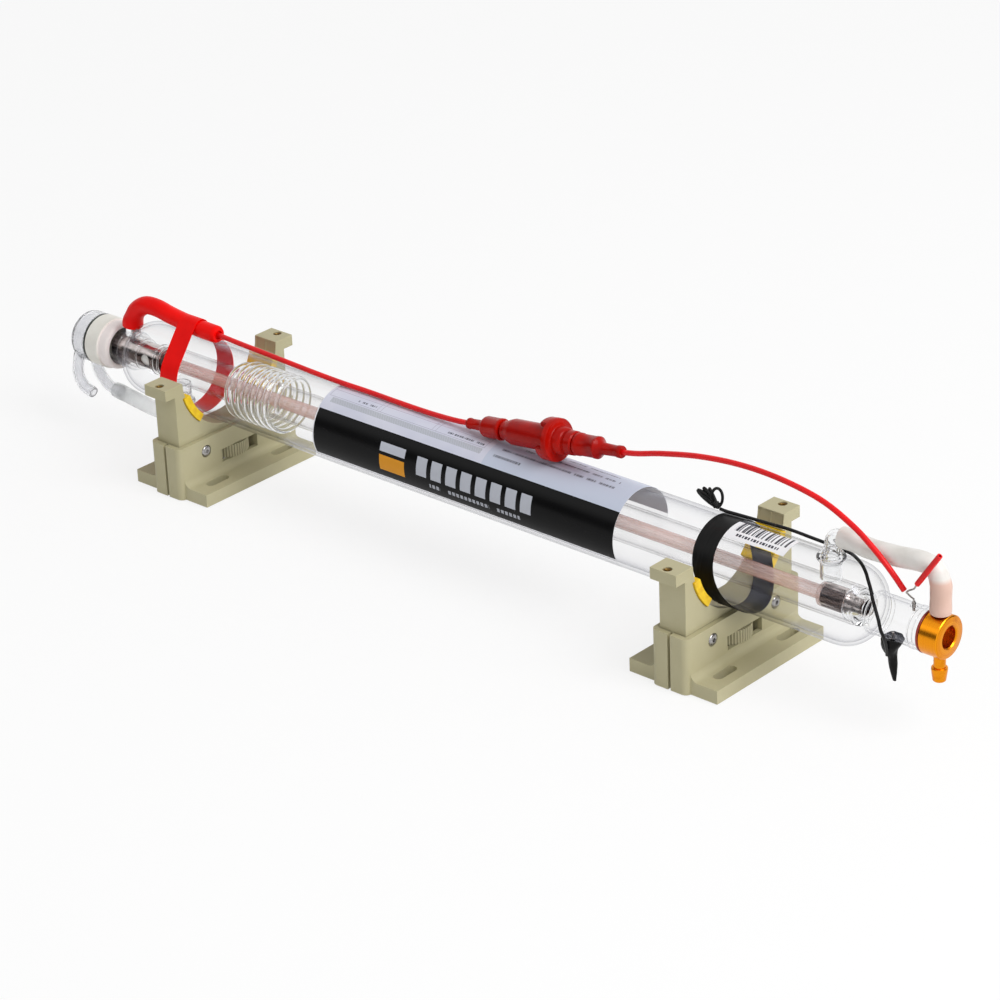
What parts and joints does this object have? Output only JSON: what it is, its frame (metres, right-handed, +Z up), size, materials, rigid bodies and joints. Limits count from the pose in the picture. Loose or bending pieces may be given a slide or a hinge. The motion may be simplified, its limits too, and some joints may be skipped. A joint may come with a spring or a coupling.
{
  "type": "carbon dioxide laser tube on supports",
  "caption": "Sealed glass gas laser tube with water jacket, spiral gas return, cooled output head and mirror cap, lying in padded height-adjustable supports with its high-voltage leads.",
  "frame": {"origin": "on the bench under the middle of the tube, at the centre of the supports' width", "axes": "+X along the tube towards the output head, +Z up, +Y across the tube"},
  "size_m": [0.7031, 0.1144, 0.1298],
  "materials": {
    "clear_glass": "clear borosilicate glass, polished",
    "pink_glass": "clear glass with a faint pink tint",
    "cap_glass": "clear blown glass",
    "nickel": "dull nickel sheet, heat tinted",
    "tinned_wire": "bare tinned wire",
    "gold_anodised": "gold anodised, satin",
    "window_crystal": "polished amber crystal",
    "gasket_red": "dark red sealant",
    "white_ceramic": "white, satin",
    "mirror_coat": "gold-coated silicon mirror",
    "black_rubber": "black seal",
    "milky_silicone": "milky translucent silicone",
    "clear_silicone": "clear silicone",
    "red_silicone": "glossy red silicone",
    "label_print": "printed film",
    "sticker_paper": "white paper label",
    "black_tape": "black insulating tape",
    "red_insulation": "glossy red insulation",
    "red_plastic": "glossy dark red plastic",
    "black_shrink": "black heat-shrink sleeve",
    "black_insulation": "black insulation",
    "beige_plastic": "moulded khaki plastic, satin",
    "steel": "bright plated steel",
    "yellow_rubber": "yellow rubber",
    "brass": "turned brass"
  },
  "bodies": {
    "tube_assembly": {"outer_tube": "clear_glass", "water_jacket": "clear_glass", "discharge_tube": "pink_glass", "gas_return_coil": "clear_glass", "rear_electrode": "nickel", "front_electrode": "nickel", "anode_pin": "tinned_wire", "cathode_pin": "tinned_wire", "neck_pin": "tinned_wire", "output_head": "gold_anodised", "inlet_barb": "gold_anodised", "outlet_barb": "gold_anodised", "output_window": "window_crystal", "head_gasket": "gasket_red", "rear_adaptor": "white_ceramic", "rear_mirror": "mirror_coat", "cap_seal": "black_rubber", "rear_cap": "cap_glass", "front_nipple": "clear_glass", "rear_nipple": "clear_glass", "output_hose": "milky_silicone", "rear_hose": "clear_silicone", "anode_boot": "red_silicone", "boot_strap": "red_silicone", "label_wrap": "label_print", "serial_sticker": "sticker_paper", "tape_band": "black_tape", "hv_lead_rear": "red_insulation", "hv_plug_boot": "red_plastic", "hv_coupler": "red_plastic", "hv_socket_boot": "red_plastic", "hv_lead_front": "red_insulation", "lead_strand": "tinned_wire", "lead_stub": "red_insulation", "cathode_boot": "black_shrink", "cathode_lead": "black_insulation", "cathode_lead_hank": "black_insulation", "out_cradle": "beige_plastic", "out_lift_stud": "steel", "out_pad_left": "yellow_rubber", "out_pad_right": "yellow_rubber", "out_insert_left": "brass", "out_insert_right": "brass", "rear_cradle": "beige_plastic", "rear_lift_stud": "steel", "rear_pad_left": "yellow_rubber", "rear_pad_right": "yellow_rubber", "rear_insert_left": "brass", "rear_insert_right": "brass"},
    "out_base": {"out_base_front": "beige_plastic", "out_base_back": "beige_plastic", "out_clamp_screw_left": "steel", "out_clamp_screw_right": "steel"},
    "out_wheel": {"out_thumbwheel": "beige_plastic"},
    "rear_base": {"rear_base_front": "beige_plastic", "rear_base_back": "beige_plastic", "rear_clamp_screw_left": "steel", "rear_clamp_screw_right": "steel"},
    "rear_wheel": {"rear_thumbwheel": "beige_plastic"}
  },
  "joints": [
    {"name": "out_lift", "type": "slide", "parent": "tube_assembly", "child": "out_base", "axis": [0, 0, -1], "range_m": [0, 0.015]},
    {"name": "out_wheel_turn", "type": "hinge", "parent": "out_base", "child": "out_wheel", "pos_m": [0.195, 0, 0.01875], "axis": [0, 0, -1], "range_deg": [0, 4320]},
    {"name": "rear_lift", "type": "slide", "parent": "tube_assembly", "child": "rear_base", "axis": [0, 0, -1], "range_m": [0, 0.015]},
    {"name": "rear_wheel_turn", "type": "hinge", "parent": "rear_base", "child": "rear_wheel", "pos_m": [-0.2234, 0, 0.01875], "axis": [0, 0, -1], "range_deg": [0, 4320]}
  ],
  "couplings": [
    {"joint": "out_wheel_turn", "follows": "out_lift", "rad_per_m": 5026.5},
    {"joint": "rear_wheel_turn", "follows": "rear_lift", "rad_per_m": 5026.5}
  ]
}
